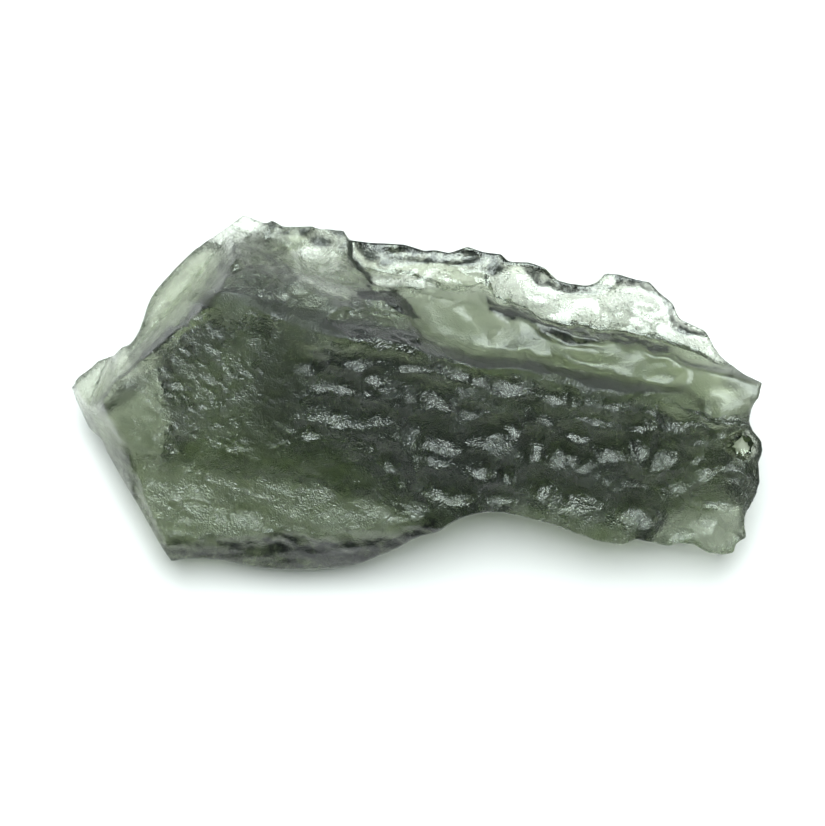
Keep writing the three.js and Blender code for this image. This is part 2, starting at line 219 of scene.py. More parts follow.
# Crests that have weathered round: the line in plan, and how far from it the wear reaches, in mm.
WORN_CRESTS = [
    ([(-8.9, 3.9), (-4.4, 3.15), (-3, 2.35)], 0.4),
    ([(-4.4, 3.15), (-6.2, -1.9)], 1.2),
]
WORN_CORE = 0.3  # of the reach, within which the wear is full
WORN_ROUNDS = 30
# Parts that are smooth all over.
WORN_PARTS = [
    [(2.9, 4.85), (4.6, 4.75), (5.2, 4.35), (6.5, 4), (8, 4.3), (9.4, 4.3), (10.2, 3.55), (10.4, 2.8),
     (11.5, 2.2), (12.6, 1.3), (11.3, 1.8), (10, 2.2), (8, 2.7), (6.5, 3.1), (5.1, 3.15), (4.6, 3.6),
     (3.1, 3.9)],
    [(-0.3, 3.6), (0.6, 2.6), (2, 1.9), (5, 1), (8, 0.6), (12, -0.6), (13.5, -0.8), (13.6, 0.3),
     (12.2, 0.8), (9, 1.5), (7, 1.9), (5, 2.2), (3.6, 2.9), (2.8, 3.6), (2.6, 4.3), (0.5, 4.5), (-0.5, 4)],
    [(-6.2, 5), (-5.2, 5.9), (-3.9, 5.9), (-2.8, 5.4), (-2.5, 4.6), (-4, 4.2), (-5.6, 4.2)],
]

# Long hollows cut into whatever face is there: x, y, length and width in mm, heading in degrees.
HOLLOWS = [
    (-9.7, 0.35, 1.3, 0.8, -30), (-9.8, -3.75, 3, 0.7, -14), (-7, -4.6, 3.4, 0.8, -20),
    (-4.6, -5.4, 2.6, 0.7, -10), (-4.75, 4.55, 0.35, 0.5, -60), (-3, 4.6, 0.9, 0.5, -25),
    (-4.6, 5.6, 2, 0.8, -60), (2.4, 2.9, 2.6, 1.2, -12), (0.9, 4.1, 2, 0.8, -5), (5, 3.9, 3.4, 0.9, -14),
    (9.2, 3.6, 1.8, 0.8, -10), (8.6, 2.9, 3, 0.6, -18), (11.4, 1.9, 2.4, 0.6, -27), (6.8, 1.3, 4, 0.9, -12),
    (-0.8, 5.5, 1.2, 0.7, -10), (0.8, 5.2, 1, 0.5, -10), (2.3, 5.5, 1.3, 0.4, 10), (4.6, 5, 1.4, 0.4, -10),
    (7.7, 4.5, 0.9, 0.5, 20),
]
HOLLOW_DEPTH = 0.16  # of a hollow's width

# Sharp steps in the skin. Each line has its drop in mm, and how far the skin takes to climb back on the
# line's left and right.
STEPS = {
    "shelf_riser": (
        RISER_TOP + [(8, 2.5), (9, 2.25), (10, 1.95), (11.3, 1.7), (12.7, 0.9)],
        0.3, 0.5, 0.05,
    ),
    "riser_foot": (
        [(3, 3.3), (3.6, 3), (4.8, 2.6), (5.5, 2.1), (6.2, 1.85), (7, 2.05), (8, 1.9), (9, 1.65)],
        0.14, 0.3, 0.08,
    ),
    "shelf_crack": (
        [(7.3, 3.7), (8, 3.3), (8.6, 3.4), (8.8, 3.1), (9.2, 2.95), (9.6, 2.8), (10.3, 2.9)],
        0.16, 0.3, 0.06,
    ),
    "rim_crest": (
        [(-1.9, 4.75), (-0.6, 4.8), (0, 4.95), (1, 5), (2, 4.9), (3, 4.7), (3.9, 4.75), (4.6, 4.75),
         (5, 4.4), (5.6, 4.15), (6.5, 4), (7.8, 3.95)],
        0.12, 0.35, 0.07,
    ),
    "east_rim_crest": (
        [(8.1, 4.2), (9, 4.2), (9.5, 4), (10, 3.65), (10.2, 3.2), (10.4, 2.8), (11, 2.5), (11.8, 2.3)],
        0.12, 0.3, 0.07,
    ),
    "seam": ([(2.6, 4.6), (2.9, 4.1), (2.8, 3.6)], 0.07, 0.15, 0.1),
    "upper_fold": ([(0.6, 4.5), (1.6, 4.45), (2.4, 4.1), (2.6, 3.9)], 0.08, 0.25, 0.06),
    "middle_fold": ([(-0.6, 4), (0, 4.05), (0.35, 4.25), (0.65, 4.1)], 0.12, 0.06, 0.25),
    "lower_fold": ([(0.9, 3.1), (1.3, 3.3), (1.8, 3.6), (2.6, 3.7)], 0.08, 0.25, 0.06),
    "lens_edge": (
        [(0.4, 2.8), (1, 2.35), (1.6, 2.1), (2.6, 1.95), (3.3, 1.7), (4.4, 1.6)],
        0.05, 0.3, 0.08,
    ),
    "long_scratch": ([(6.5, 2.1), (7, 1.95), (8, 1.75), (9, 1.5), (10.2, 1.2)], 0.08, 0.1, 0.06),
    "east_riser": ([(10.3, 1.5), (11, 1.35), (12, 1.05), (12.7, 0.8)], 0.18, 0.25, 0.06),
    "lobe_cliff": (
        [(-2.7, 6.5), (-2.5, 5.9), (-2.4, 5.4), (-1.9, 4.75), (-1.8, 4.5), (-1.6, 4.25), (-0.95, 4.25),
         (-0.6, 3.7), (-0.2, 3.15)],
        0.5, 0.5, 0.05,
    ),
    "lobe_fold": ([(-5.2, 6.1), (-4.7, 5.4), (-4.5, 4.8)], 0.1, 0.3, 0.1),
    "lobe_lip": ([(-3.4, 5.1), (-3.2, 4.6), (-2.7, 4.35), (-2.3, 4.1)], 0.15, 0.25, 0.08),
    "strip_crest": (STRIP_CREST, 0.25, 0.4, 0.06),
    "slanting_crack": ([(-7.2, 4.6), (-6.7, 4.2), (-6.2, 3.75), (-5.5, 3.4), (-5.2, 2.9)], 0.08, 0.2, 0.08),
    "granular_lip": ([(-5.9, -2.3), (-7, -2), (-8, -1.85), (-9, -1.9), (-10.3, -1.75)], 0.06, 0.3, 0.05),
    "groove_foot": ([(-10.4, -2.5), (-9.5, -2.7), (-8, -2.85), (-6.5, -3)], 0.04, 0.3, 0.06),
    "lens_lip": ([(-9.3, -4.2), (-7.7, -4.7), (-6.8, -5), (-6.2, -5.4), (-6, -5.8)], 0.08, 0.3, 0.06),
    "bevel_edge": (
        [(0.6, -5.2), (-0.8, -5.95), (-2.5, -5.9), (-3.6, -5.9), (-4.6, -5.85), (-5.4, -5.7), (-6.3, -5.95),
         (-8, -6), (-9.8, -5.9)],
        0.05, 0.2, 0.05,
    ),
    "facet_edge": ([(-12.8, -0.6), (-12.3, -1.3)] + WEST_EDGE, 0.15, 0.06, 0.15),
}

# Painted shade: dark patches painted into the skin's colour where the glass looks dark from how light passes
# through it, and a painted shadow at the foot of the lobe's cliff: an outline and how dark it is, from 0 to
# 1.
PAINTED_SHADE_PATCHES = {
    "riser": (
        RISER_TOP + [
            (8, 2.45), (9, 2.2), (10.2, 1.9), (10, 1.7), (8.5, 1.9), (7.8, 2.05), (7, 2.15), (6.2, 1.85),
            (5.5, 2.1), (4.8, 2.6), (3.6, 3), (2.9, 3.4),
        ],
        1.2,
    ),
    "east_riser": ([(10.3, 1.55), (11, 1.4), (12, 1.1), (12.8, 1.2), (12, 0.95), (11, 1.25)], 0.8),
    "lobe_cliff": (
        [(-2.35, 4.05), (-2.1, 4.25), (-2, 4.7), (-1.8, 4.5), (-1.6, 4.25), (-0.95, 4.25), (-0.2, 3.1),
         (-0.5, 3.2), (-0.9, 3.75), (-1.1, 4)],
        0.6,
    ),
    # Painted shadow at the foot of the lobe's cliff, and painted shade along its edge.
    "cliff_foot": (
        [(-2.35, 4.1), (-1.7, 4.3), (-0.97, 4.3), (-0.28, 3.45), (0.2, 2.9), (-0.2, 2.95), (-0.8, 3.2),
         (-1.3, 3.8), (-2.2, 3.9)],
        3,
    ),
    "cliff_edge": (
        [(-2.8, 6.7), (-2.66, 6.2), (-2.6, 5.5), (-2.05, 4.9), (-1.85, 4.35), (-1.65, 4.3), (-1.8, 4.85),
         (-2.4, 5.5), (-2.48, 6.2), (-2.62, 6.75)],
        1.5,
    ),
    "lobe_rim": (
        [(-6.2, 6.5), (-5.75, 7.1), (-5.3, 6.9), (-2.85, 6.8), (-2.5, 6.2), (-2.35, 5.4), (-1.85, 4.75),
         (-2.2, 4.85), (-2.9, 5.7), (-4.1, 5.9), (-4.7, 6.4), (-5.5, 6.3)],
        0.9,
    ),
    "lobe_west": (
        [(-6.8, 5.1), (-5.9, 5.7), (-5.15, 6), (-5, 5.2), (-4.7, 4.6), (-5.2, 4), (-6.2, 3.8), (-7, 4.4)],
        0.65,
    ),
    "dark_lens": ([(2, 4.9), (2.7, 5.2), (3.4, 5.15), (4, 5), (3.2, 4.65), (2.6, 4.9)], 1),
    "west_rim": (
        [(-2.6, 6.4), (-0.8, 6.1), (0.2, 5.9), (0.9, 5.75), (2, 5.8), (3.6, 5.6), (4, 5.2), (2.6, 5),
         (1, 5.25), (0, 5.2), (-1, 5.1), (-2, 5.2)],
        1,
    ),
    "middle_rim": (
        [(4, 5.3), (5, 5.2), (5.6, 4.7), (6.2, 4.45), (7.3, 4.4), (8.2, 4.3), (7.8, 4), (6.5, 4.05),
         (5.6, 4.2), (5, 4.5), (4.6, 4.8)],
        0.85,
    ),
    "east_rim": (
        [(8, 4.9), (9, 4.6), (9.7, 4.4), (10.3, 3.7), (10.6, 3), (11.3, 2.65), (12, 2.4), (11, 2.4),
         (10.4, 2.6), (10.15, 3.2), (10, 3.6), (9.4, 4), (8.8, 4.3), (8.1, 4.4)],
        0.95,
    ),
    "strip_band": (
        [(-5.6, 7), (-6.3, 6.8), (-7.4, 5.95), (-8.2, 5.05), (-9.2, 3.6)] + STRIP_CREST,
        0.6,
    ),
    "strip_foot": ([(-11.6, 1.9), (-11.3, 0.9), (-10.6, 1.5), (-9.8, 2.8), (-10.6, 2.6), (-11, 2.8)], 0.4),
    "west_facet": ([(-12.9, -1.6), (-12.5, -1.4)] + WEST_EDGE + [(-10, -7), (-12.7, -2.3)], 0.5),
    "bevel": (
        [(0.9, -5.2), (-0.8, -5.95), (-3.6, -5.9), (-5.4, -5.7), (-6.3, -5.95), (-8, -6), (-8, -6.3),
         (-5, -6.6), (-2, -6.9), (0.5, -5.9)],
        0.95,
    ),
}
PAINTED_PATCH_SOFTNESS = 0.09
# Broad painted shade: parts whose colour is darkened on both sides of the glass, where the glass looks dark.
PAINTED_BROAD_SHADES = {
    "furrowed": (
        [(-3, 2.2), (-1, 1.7), (2, 1.4), (5, 0.5), (8, 0.2), (12, -1), (12, -4.3), (6, -4.6), (3.2, -4.2),
         (0, -3.8), (-2, -2.5), (-4, -0.5)],
        0.12,
    ),
    "east_end": (
        [(8, -0.5), (11.5, -1), (14.4, -1.3), (14.4, -4.7), (12.8, -4.5), (11, -4.4), (10, -4.9),
         (8.5, -4.6)],
        0.22,
    ),
    "bevel": (
        [(0.9, -5.1), (-0.8, -5.9), (-3.6, -5.85), (-5.4, -5.6), (-6.3, -5.9), (-9.9, -5.9), (-10.4, -7.3),
         (-2, -7.5), (1, -6)],
        0.6,
    ),
}
PAINTED_BROAD_SOFTNESS = 0.3
# The pale band and the lens south of the riser, which are matt and lean a little to the south.
PALE_BAND = [
    (-0.5, 3.4), (0.2, 2.4), (1.5, 1.6), (3.2, 0.9), (5.5, 0.4), (8.5, -0.1), (12.3, -0.8), (14.2, -0.9),
    (14.2, 0.6), (12.8, 1.3), (10.2, 1.75), (8, 2.1), (6.6, 2.6), (5, 2.9), (4.4, 3.3), (2.9, 4),
    (0.5, 4.4),
]
BAND_TILT = 0.14  # as a slope
BAND_MIDDLE = (2.65, -0.17)  # the line that it tilts about: y in mm at x = 0, and how y changes with x
BAND_SOFTNESS = 0.5
MATT_SHARE = 0.9  # how dull the band is, where dullness is from 0 to 1

# The most glass there is inside each outline, in mm. Together they reach under nearly the whole stone.
WINDOWS = {
    "tread": (
        [(2.9, 4.85), (4.6, 4.75), (5.2, 4.35), (6.5, 4), (8, 4), (8.3, 4.3), (9.4, 4.1), (10.2, 3.55),
         (10.3, 2.7), (11.2, 2.3), (12, 2), (12.9, 1.1), (12.2, 1.2), (11.3, 1.9), (10, 2.2), (8, 2.6),
         (6.5, 3), (5.1, 3.05), (4.6, 3.5), (3.1, 3.85)],
        0.4,
    ),
    "east_tread": (
        [(8, 4), (8.4, 4.6), (9.7, 4.4), (10.4, 3.5), (10.5, 2.9), (12, 2.3), (12.9, 1.1), (12.2, 1.2),
         (11.3, 1.8), (9, 2.6), (7.4, 3.2)],
        0.3,
    ),
    "west_pool": (
        [(-1.75, 4.68), (-1.2, 4.85), (-0.3, 4.75), (0.3, 4.5), (0.75, 4.2), (0.2, 4.2), (-0.4, 4.3),
         (-1, 4.38), (-1.5, 4.42)],
        0.3,
    ),
    "pale_pool": ([(0.5, 4.5), (2.2, 4.4), (2.8, 4.1), (2.5, 3.6), (1.2, 3.5), (-0.1, 4)], 0.85),
    "green_lens": (
        [(-0.4, 3.9), (0.3, 3), (1.2, 2.2), (3.4, 1.9), (4.7, 2.5), (3.7, 3.2), (2.9, 3.9), (1.5, 3.9)],
        0.9,
    ),
    "green_band": (
        [(3.2, 1.9), (5.5, 2.2), (8, 2), (10, 1.6), (12.5, 1), (13.9, 0.4), (13.6, -0.9), (12, -1),
         (10.5, -0.4), (9, 0.1), (6.5, 0.6), (4.5, 0.9)],
        1.6,
    ),
    "east_patch": ([(11, 1), (13.2, 0.7), (13.5, -0.5), (12.3, -1), (11.2, -0.4)], 1.45),
    "lobe_window": (
        [(-5, 5.7), (-4.5, 5.9), (-3.8, 5.7), (-3.1, 5.5), (-2.9, 5.1), (-3.3, 4.8), (-2.8, 4.2),
         (-3.6, 4.1), (-4.7, 4.5), (-4.9, 5.2)],
        0.45,
    ),
    "lobe": (
        [(-6.5, 6.9), (-5.4, 7), (-2.6, 6.7), (-2, 4.9), (-2.4, 4), (-4.5, 4.1), (-6, 4.8)],
        2.3,
    ),
    "olive_roof": (
        [(-9.2, 2.8), (-8.9, 4.1), (-7.6, 4.8), (-5.5, 3.6), (-5.2, 2.4), (-6.5, 1.2), (-8, 1.4)],
        3.7,
    ),
    "west_corner": (
        [(-12.7, -0.6), (-11.2, 0.7), (-10.4, 0.6), (-9.9, -1), (-10.2, -2.6), (-11.6, -2.4)],
        1.3,
    ),
    "groove": (
        [(-10.4, -1.9), (-8, -1.9), (-5, -2.2), (-2.5, -2.6), (-1.2, -3.6), (0.6, -4.8), (-1.5, -4.2),
         (-4, -3.6), (-6, -3.3), (-8, -2.95), (-10, -2.6)],
        2.45,
    ),
    "granular": ([(-10.8, 0.4), (-9, 2.2), (-7.4, 1), (-6.4, -0.6), (-7, -1.7), (-10.2, -1.7)], 3),
    "slope_east": ([(0.8, 2), (2, 1.6), (4, 1), (4.6, 1.6), (2, 2.2)], 2.6),
    "south_rim": ([(3.4, -4.7), (4, -4.4), (6, -4.8), (8.6, -5.4), (9, -6.4), (4, -6.2)], 1.75),
    "south_west_slope": (
        [(-11, -2.8), (-8, -3), (-4, -3.7), (-1, -4.5), (0.6, -5.2), (-2, -5.8), (-5.2, -5.6), (-8, -5.9),
         (-10.2, -5.9)],
        1.4,
    ),
    "lobe_foot": (
        [(-6, 4.6), (-2.2, 4.3), (-0.4, 3.4), (0.8, 2.6), (-1, 2.6), (-3.5, 3.2), (-5.6, 3.7)],
        3.4,
    ),
    "strip": (
        [(-11.9, 2.4), (-11.4, 0.9), (-9.9, 2.8), (-8.9, 4.3), (-7.6, 5.6), (-6.3, 6.8), (-7, 7.4),
         (-9.2, 6.4)],
        0.9,
    ),
    "strip_top": ([(-8.3, 6.2), (-7, 7.1), (-6, 7), (-6.3, 6.6), (-7.5, 5.9)], 0.35),
    "blade": ([(-14.3, 0.1), (-12, 2.2), (-11.3, 1), (-12.6, -0.2), (-13.3, -0.7)], 0.6),
    "bubble": ([(12.75, -2.1), (12.9, -1.75), (13.3, -1.65), (13.6, -2), (13.4, -2.45), (13, -2.5)], 0.9),
    "south_east": (
        [(10.2, -4.8), (12.9, -4.6), (13.1, -5.6), (12.6, -6.4), (11.2, -6.2), (9.6, -5.9)],
        0.75,
    ),
}
WINDOW_GROWTH = 1.2  # how much more glass there may be for each mm away from a window
STEEP_GROWTH = {"tread": 3, "east_tread": 3, "west_pool": 2.5, "bubble": 4}
WINDOW_BLEND = 0.12  # mm, how softly two windows meet
# The rim grows thicker inland, apart from the south-west, where the stone is blunt.
THIN_RIM = [
    (-15, -1.4), (-15, 8), (-6.6, 8), (-6, 6.2), (-3, 5.6), (-2.2, 8), (15, 8), (15, -7), (9, -7), (9, -5),
    (12.6, -4), (12.4, -1), (4, 2), (-3, 4), (-10, 1), (-12, -1),
]
# Where the underside is also lowered, so that the glass is as thick as the windows say.
FILLED = [
    (1.5, 3), (2.8, 1.8), (5, 1.3), (9, 0.4), (12.5, -0.6), (13.2, -0.4), (13, 0.7), (11, 1.3), (9, 1.9),
    (7.5, 2.3), (5.5, 2.7), (4.5, 3.1), (3, 3.6),
]
FILL_SOFTNESS = 0.25
RIM_THICKNESS = 0.35
RIM_GROWTH = 1.4
RIM_SOFTNESS = 0.5
THICK = 1.6  # mm, what is added to the rim's limit where the rim is blunt
NUDGE = 0.12  # mm, from a side into the stone, where its column of glass is measured
ABOVE = 20.0  # mm, higher than the stone
AROUND = [(0, 0), (0.3, 0), (-0.3, 0), (0, 0.3), (0, -0.3)]  # mm
CLIFF = 0.4  # mm, the most that the glass at the foot of a cliff may lie below the column beside it

# The gas bubble that the east end has worn open.
BUBBLE_AT = (13.15, -2.1)
BUBBLE_RADIUS = 0.6
BUBBLE_DEPTH = 0.42
BUBBLE_FACETS = 9
BUBBLE_UNEVEN = 0.45
BUBBLE_FROST = 0.05

# How deep pits may go, and where the crests may wander.
ROOM_SHARE = 0.3  # of the thickness of the glass
ROOM_MOST = 1.0  # mm
INLAND = (0.1, 1.3)  # mm from the outline, over which the wander comes in


def smooth_step(low, high, value):
    t = np.clip((value - low) / (high - low), 0.0, 1.0)
    return t * t * (3.0 - 2.0 * t)


def depth_inside(outline, points):
    """How far each point is inside an outline in plan, in mm; negative outside."""
    corners = np.array(outline)
    following = np.roll(corners, -1, axis=0)
    nearest = np.full(len(points), np.inf)
    crossings = np.zeros(len(points), dtype=int)
    for (x0, y0), (x1, y1) in zip(corners, following):
        along = np.array([x1 - x0, y1 - y0])
        t = np.clip(((points - (x0, y0)) @ along) / (along @ along), 0.0, 1.0)
        gap = points - ((x0, y0) + t[:, None] * along)
        nearest = np.minimum(nearest, np.hypot(gap[:, 0], gap[:, 1]))
        spans = (y0 > points[:, 1]) != (y1 > points[:, 1])
        rise = y1 - y0 if y1 != y0 else 1e-9
        crossings += spans & (points[:, 0] < (x1 - x0) * (points[:, 1] - y0) / rise + x0)
    return np.where(crossings % 2 == 1, nearest, -nearest)


def inside(outline, points, softness=OUTLINE_SOFTNESS):
    """Each point's share inside an outline: 0 outside, 1 inside, blending over the softness."""
    return smooth_step(-softness, softness, depth_inside(outline, points))


def distance_outside(outline, points):
    return np.maximum(-depth_inside(outline, points), 0.0)


def hills(plan, size, seed):
    """Smooth random heights from -1 to 1 over the plan, that change over about `size` mm."""
    posts = np.random.default_rng(seed).uniform(-1.0, 1.0, (HILL_POSTS, HILL_POSTS))
    at = plan / size
    low = np.floor(at).astype(int)
    t = at - low
    t = t * t * (3.0 - 2.0 * t)
    x0, y0 = low[:, 0] % HILL_POSTS, low[:, 1] % HILL_POSTS
    x1, y1 = (x0 + 1) % HILL_POSTS, (y0 + 1) % HILL_POSTS
    south = posts[x0, y0] * (1.0 - t[:, 0]) + posts[x1, y0] * t[:, 0]
    north = posts[x0, y1] * (1.0 - t[:, 0]) + posts[x1, y1] * t[:, 0]
    return south * (1.0 - t[:, 1]) + north * t[:, 1]


def shaken(plan):
    """The plan with its places shifted a little, so that what is drawn on it loses its even curves."""
    shifts = []
    for axis in range(2):
        shifts.append(sum(
            reach * hills(plan, size, SHAKE_SEED + 2 * n + axis) for n, (size, reach) in enumerate(SHAKES)
        ))
    return plan + np.stack(shifts, axis=1)


def plane_height(corners, plan):
    """The height over the plan of the plane through three points."""
    a, b, c = (np.array(corner) for corner in corners)
    normal = np.cross(b - a, c - a)
    return a[2] - ((plan - a[:2]) @ normal[:2]) / normal[2]


def scooped(plan, rows, depth_ratio, bend, fall):
    """How far a family of long bowls cuts below a face; where two meet, the deeper one wins."""
    cut = np.zeros(len(plan))
    for x, y, length, width, heading in rows:
        a = math.radians(heading)
        gap = plan - (x, y)
        along = gap @ (math.cos(a), math.sin(a)) / (0.5 * length)
        across = gap @ (-math.sin(a), math.cos(a)) / (0.5 * width)
        # The deepest place lies downhill of the middle; from there the walls rise to the rim all round.
        from_deepest = np.maximum(np.hypot(along, across + LEAN), 1e-9)
        toward = -LEAN * (across + LEAN) / from_deepest
        to_rim = np.sqrt(toward ** 2 + 1.0 - LEAN ** 2) - toward
        inner = np.maximum(1.0 - (from_deepest / to_rim) ** bend, 0.0) ** fall
        cut = np.minimum(cut, -depth_ratio * width * inner)
    return cut


def stepped(plan, line, drop, left, right):
    """How far a step along a line cuts: deepest on the line, climbing back over a reach on either side."""
    corners = np.array(line)
    lengths = np.hypot(*np.diff(corners, axis=0).T)
    starts = np.concatenate([[0.0], np.cumsum(lengths)])
    nearest = np.full(len(plan), np.inf)
    side = np.zeros(len(plan))
    along_line = np.zeros(len(plan))
    for n, length in enumerate(lengths):
        along = (corners[n + 1] - corners[n]) / length
        gap = plan - corners[n]
        t = np.clip(gap @ along, 0.0, length)
        off = gap - t[:, None] * along
        away = np.hypot(off[:, 0], off[:, 1])
        closer = away < nearest
        nearest = np.where(closer, away, nearest)
        side = np.where(closer, along[0] * gap[:, 1] - along[1] * gap[:, 0], side)
        along_line = np.where(closer, starts[n] + t, along_line)
    reach = np.where(side > 0.0, left, right)
    ends = smooth_step(0.0, STEP_FADE, along_line) * smooth_step(0.0, STEP_FADE, starts[-1] - along_line)
    return -drop * np.exp(-nearest / reach) * ends


# ---------------------------------------------------------------- meshes

def new_object(name, data):
    made = bpy.data.objects.new(name, data)
    bpy.context.scene.collection.objects.link(made)
    return made


def applied(source, name):
    """The object's mesh with its modifiers worked out, as a plain mesh; the object is removed."""
    graph = bpy.context.evaluated_depsgraph_get()
    mesh = bpy.data.meshes.new_from_object(source.evaluated_get(graph), depsgraph=graph)
    mesh.name = name
    bpy.data.objects.remove(source)
    return mesh


def corners_of(mesh):
    flat = np.empty(len(mesh.vertices) * 3, dtype=np.float32)
    mesh.vertices.foreach_get("co", flat)
    return flat.reshape(-1, 3).astype(float)


def place_corners(mesh, points):
    mesh.vertices.foreach_set("co", points.astype(np.float32).ravel())
    mesh.update()


def probe_of(mesh):
    """What rays are cast against, to find the skin of the mesh."""
    probe = new_object("probe", mesh)
    tree = BVHTree.FromObject(probe, bpy.context.evaluated_depsgraph_get())
    bpy.data.objects.remove(probe)
    return tree


def facing_of(mesh):
    flat = np.empty(len(mesh.vertices) * 3, dtype=np.float32)
    mesh.vertex_normals.foreach_get("vector", flat)
    return flat.reshape(-1, 3).astype(float)


def triangles_in(mesh):
    mesh.calc_loop_triangles()
    return len(mesh.loop_triangles)


def remeshed(mesh, name):
    """The same shape as a mesh of even small squares."""
    draft = new_object(name, mesh)
    remesh = draft.modifiers.new("even", "REMESH")
    remesh.mode = "VOXEL"
    remesh.voxel_size = VOXEL
    return applied(draft, name)


def even_mesh():
    """The CAD stone as one mesh of even small squares, in millimetres."""
    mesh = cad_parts[STONE].data.copy()
    mesh.materials.clear()
    mesh.transform(Matrix.Scale(1.0 / MM, 4))
    welded = bmesh.new()
    welded.from_mesh(mesh)
    bmesh.ops.remove_doubles(welded, verts=welded.verts, dist=WELD)
    welded.to_mesh(mesh)
    welded.free()
    return remeshed(mesh, "stone_even")


def crest_wear(plan):
    """How worn each place is by being near a worn crest, from 0 to 1."""
    worn = np.zeros(len(plan))
    for crest, reach in WORN_CRESTS:
        corners = np.array(crest)
        gap = gap_to_segments(plan, corners[:-1], corners[1:])
        worn = np.maximum(worn, 1.0 - smooth_step(WORN_CORE * reach, reach, gap))
    return worn


def soften_crests(mesh):
    """Rounds off the crests that have weathered, by averaging the heights around them."""
    plan = corners_of(mesh)[:, :2]
    worn = crest_wear(plan)
    for part in WORN_PARTS:
        worn = np.maximum(worn, inside(part, plan))
    store(mesh, "worn", worn)
    tree, given = new_tree("worn_crests", {"Rounds": WORN_ROUNDS}, "Geometry", shape=True)
    place = tree.nodes.new("GeometryNodeInputPosition").outputs[0]
    share = field(tree, "worn")
    blur = tree.nodes.new("GeometryNodeBlurAttribute")
    blur.data_type = "FLOAT_VECTOR"
    tree.links.new(place, [s for s in blur.inputs if s.type == "VECTOR"][0])
    tree.links.new(given["Rounds"], blur.inputs["Iterations"])
    tree.links.new(share, blur.inputs["Weight"])
    averaged = [s for s in blur.outputs if s.type == "VECTOR"][0]
    rounded = add(tree, "GeometryNodeSetPosition", {"Geometry": given["Geometry"], "Position": averaged})
    draft = new_object("stone_worn", mesh)
    draft.modifiers.new("worn", "NODES").node_group = finish_tree(tree, rounded.outputs[0])
    return applied(draft, "stone_worn")


def cut_skin(mesh):
    """Moves the upper skin to its broad faces, and cuts furrows, hollows, the bubble and steps into them."""
    points = corners_of(mesh)
    plan = points[:, :2]
    uneven = shaken(plan)
    ledge = np.maximum(plane_height(LEDGE_RISER, uneven), plane_height(LEDGE_FLOOR, uneven))
    faces = np.min([plane_height(face, plan) for face in SOUTH_FACES] + [ledge], axis=0)
    height = points[:, 2] + inside(SOUTH_SIDE, plan, SIDE_SOFTNESS) * (faces - points[:, 2])
    slope = np.minimum(height, plane_height(NORTH_SLOPE, plan))
    height += inside(LOBE_END, uneven, LOBE_END_SOFTNESS) * (slope - height)
    turn = smooth_step(*SHELF_TURN, plan[:, 0])
    face = plane_height(SHELF_WEST_FACE, plan)
    face += turn * (plane_height(SHELF_EAST_FACE, plan) - face)
    dropped = np.maximum(plane_height(SHELF_DROP, uneven), face)
    height += inside(SHELF_CUT, uneven, SHELF_CUT_SOFTNESS) * (np.minimum(height, dropped) - height)
    banked = BAND_TILT * (plan[:, 1] - BAND_MIDDLE[0] - BAND_MIDDLE[1] * plan[:, 0])
    height += inside(PALE_BAND, uneven, BAND_SOFTNESS) * banked
    height += scooped(uneven, FURROWS, FURROW_DEPTH, FURROW_BEND, FURROW_FALL)
    height += scooped(uneven, HOLLOWS, HOLLOW_DEPTH, HOLLOW_BEND, HOLLOW_FALL)
    height += bubbled(plan)
    for line, drop, left, right in STEPS.values():
        height += stepped(uneven, line, drop, left, right)
    upper = smooth_step(*CUT_FACING, facing_of(mesh)[:, 2])
    height = np.maximum(height, points[:, 2] - MOST_CUT * thickness_of(mesh))
    points[:, 2] += upper * (height - points[:, 2])
    place_corners(mesh, points)


def bubbled(plan):
    """How far the open bubble cuts: a bowl whose wall is dented all round."""
    gap = plan - BUBBLE_AT
    r = np.hypot(gap[:, 0], gap[:, 1]) / BUBBLE_RADIUS
    dents = np.cos(BUBBLE_FACETS * np.arctan2(gap[:, 1], gap[:, 0]))
    return -BUBBLE_DEPTH * np.sqrt(np.maximum(1.0 - r * r, 0.0)) * (1.0 + BUBBLE_UNEVEN * r * dents)


def thin_underside(mesh):
    """Raises the underside, and lowers it in the filled part, until the glass is as thick as is allowed."""
    tree = probe_of(mesh)
    points = corners_of(mesh)
    facing = facing_of(mesh)
    plan = points[:, :2]
    lower = 1.0 - smooth_step(*CUT_FACING, facing[:, 2])
    tops = points[:, 2].copy()
    for n in np.nonzero(lower > 0.0)[0]:
        x, y = plan[n] - NUDGE * facing[n, :2]
        found = []
        for dx, dy in AROUND:
            top = tree.ray_cast(Vector((x + dx, y + dy, ABOVE)), Vector((0.0, 0.0, -1.0)))[0]
            found.append(ABOVE if top is None else top.z)
        if min(found) < ABOVE:
            tops[n] = min(found[0], min(found[1:]) + CLIFF)
    rim = RIM_THICKNESS + RIM_GROWTH * gap_to_segments(plan, *plan_outline())
    limits = [rim + THICK * (1.0 - inside(THIN_RIM, plan, RIM_SOFTNESS))]
    for name, (outline, most) in WINDOWS.items():
        growth = STEEP_GROWTH.get(name, WINDOW_GROWTH)
        limits.append(most + growth * distance_outside(outline, plan))
    blended = sum(np.exp(-np.minimum(limit, ABOVE) / WINDOW_BLEND) for limit in limits)
    most_glass = -WINDOW_BLEND * np.log(blended + 1e-60)
    wanted = tops - np.maximum(most_glass, RIM_THICKNESS)
    raised = np.maximum(points[:, 2], wanted)
    below = 1.0 - smooth_step(*UNDER_FACING, facing[:, 2])
    raised += inside(FILLED, plan, FILL_SOFTNESS) * below * (wanted - raised)
    points[:, 2] += lower * (raised - points[:, 2])
    place_corners(mesh, points)


def thickness_of(mesh):
    """How thick the glass is behind each point of the skin, square to it, in millimetres."""
    tree = probe_of(mesh)
    lift = 0.5 * VOXEL
    found = []
    for vertex in mesh.vertices:
        start = vertex.co - vertex.normal * lift
        hit = tree.ray_cast(start, -vertex.normal)
        found.append(lift + (hit[3] if hit[3] is not None else 0.0))
    return np.array(found)


